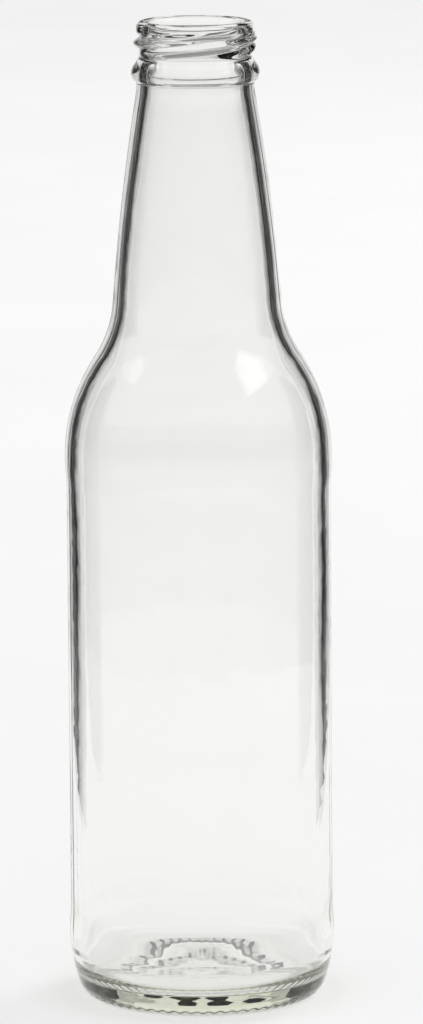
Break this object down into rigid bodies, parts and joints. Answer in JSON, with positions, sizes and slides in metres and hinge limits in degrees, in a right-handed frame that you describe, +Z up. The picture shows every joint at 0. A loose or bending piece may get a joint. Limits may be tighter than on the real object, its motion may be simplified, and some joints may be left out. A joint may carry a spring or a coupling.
{
  "type": "glass drinks bottle",
  "caption": "Empty clear glass drinks bottle with a round body, sloping shoulder, tapered neck, transfer bead, twist-off crown finish and knurled base ring.",
  "frame": {"origin": "on the axis of the bottle, at the surface it stands on", "axes": "+Z up along the bottle's axis towards the mouth, +X to the right and -Y towards the picture's camera"},
  "size_m": [0.057, 0.057, 0.21],
  "materials": {
    "clear_glass": "clear flint glass, smooth and glossy, with a faint grey-green tint where it is thick"
  },
  "bodies": {
    "root": {"bottle": "clear_glass"}
  },
  "joints": []
}
